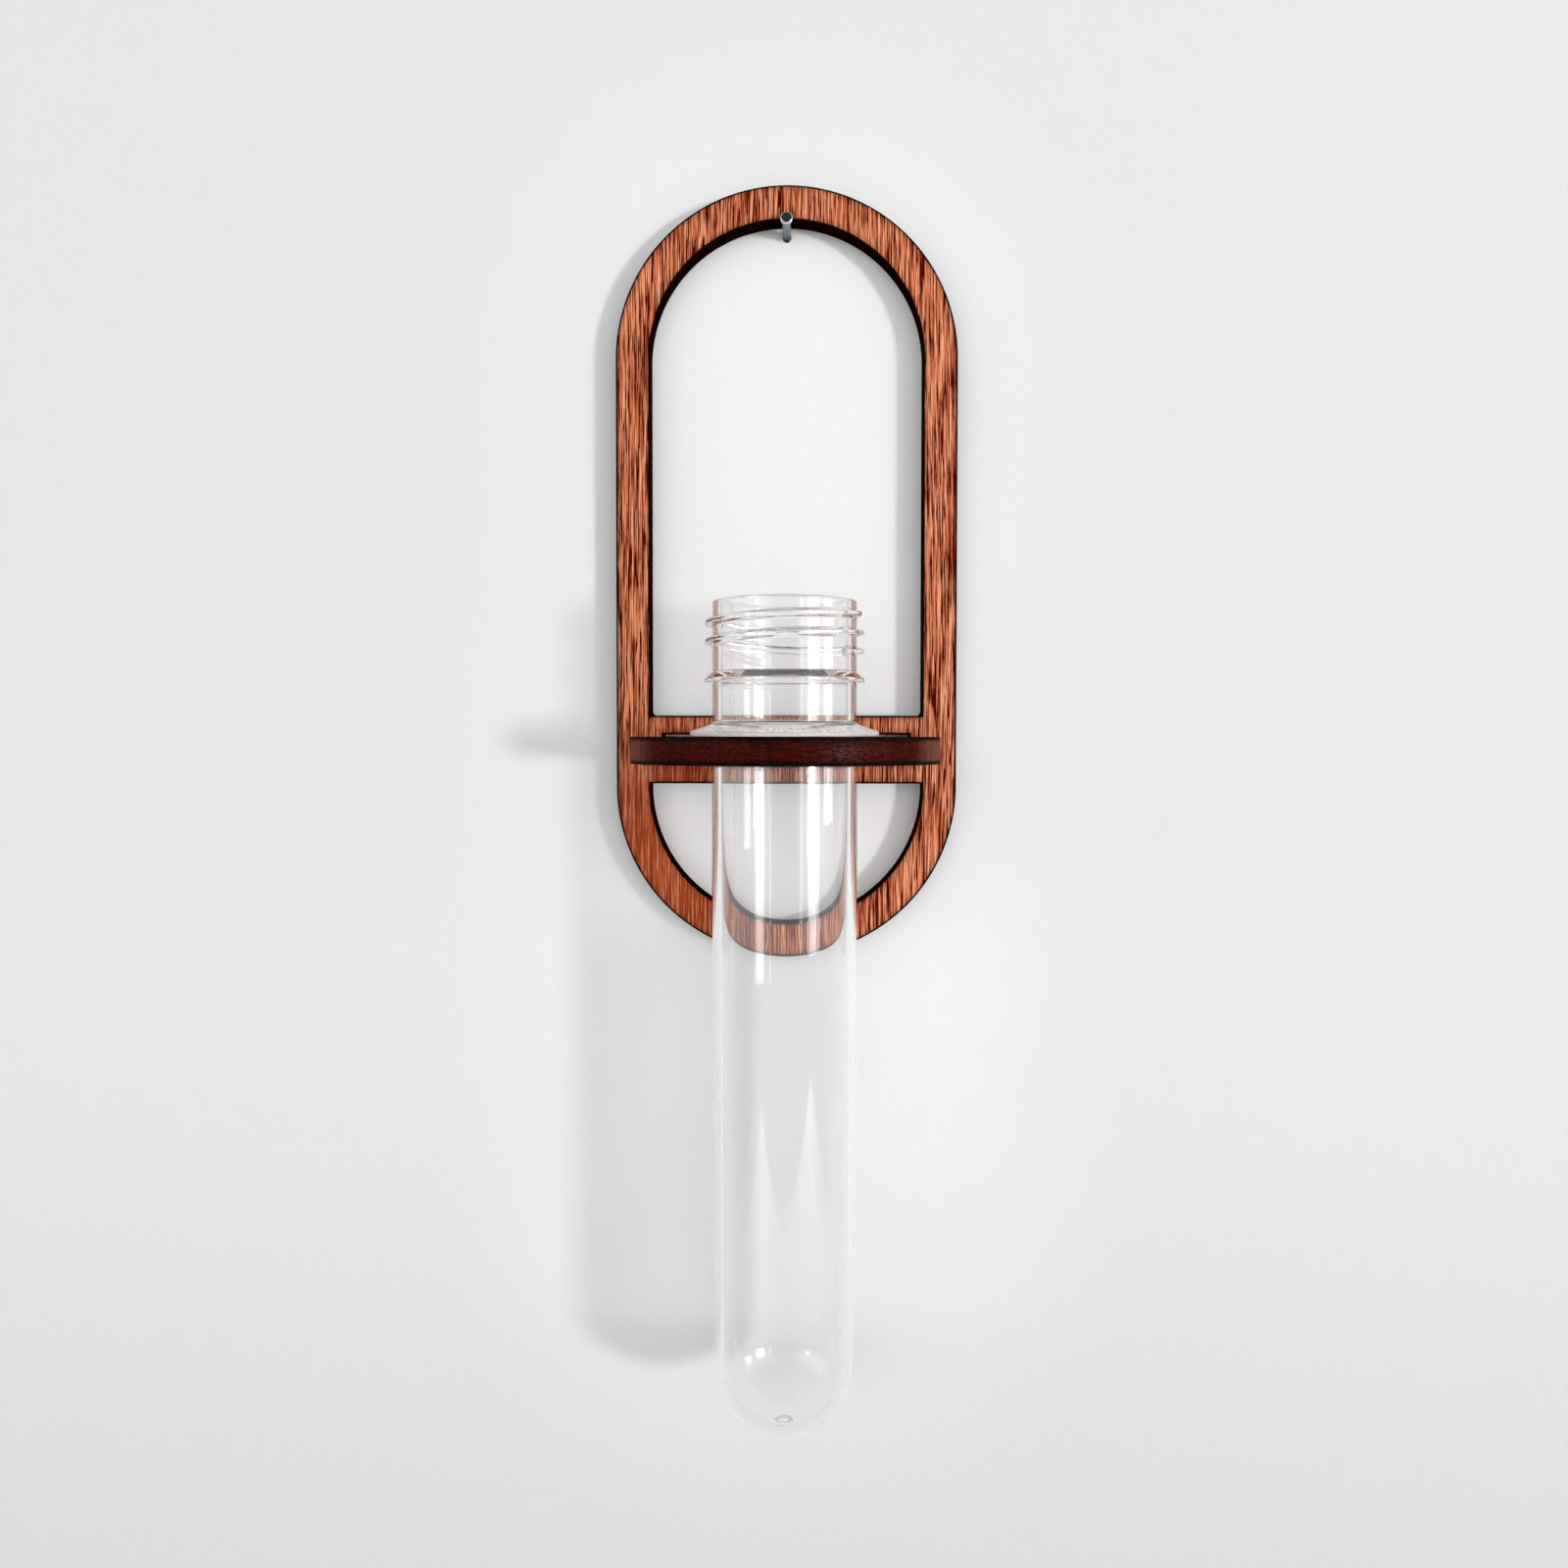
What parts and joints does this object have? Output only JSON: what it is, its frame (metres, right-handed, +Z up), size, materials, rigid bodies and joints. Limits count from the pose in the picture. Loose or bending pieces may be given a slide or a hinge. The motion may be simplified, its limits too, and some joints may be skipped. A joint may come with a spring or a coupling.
{
  "type": "wall mounted flower tube",
  "caption": "Arched wooden wall frame hung on a nail, with a D-shaped shelf that holds a clear screw-neck tube for a cut flower.",
  "frame": {"origin": "on the nail's axis where it enters the wall's face", "axes": "+Z up, +Y into the wall, square to the frame's back face, +X to the viewer's right; the front faces -Y"},
  "size_m": [0.0636, 0.0602, 0.224],
  "materials": {
    "frame_wood": "oiled red-brown wood with charred laser-cut edges",
    "shelf_wood": "oiled red-brown wood with a charred laser-cut edge",
    "clear_plastic": "clear and glossy, as moulded",
    "nail_steel": "bright drawn wire"
  },
  "bodies": {
    "nail": {"wall_nail": "nail_steel"},
    "frame": {"wall_frame": "frame_wood", "shelf": "shelf_wood"},
    "tube": {"tube": "clear_plastic"}
  },
  "joints": [
    {"name": "frame_swing", "type": "hinge", "parent": "nail", "child": "frame", "pos_m": [0, -0.0048, 0.00076], "axis": [0, 1, 0], "range_deg": [-20, 20]},
    {"name": "tube_lift", "type": "slide", "parent": "frame", "child": "tube", "axis": [0, 0, 1], "range_m": [0, 0.125]}
  ]
}
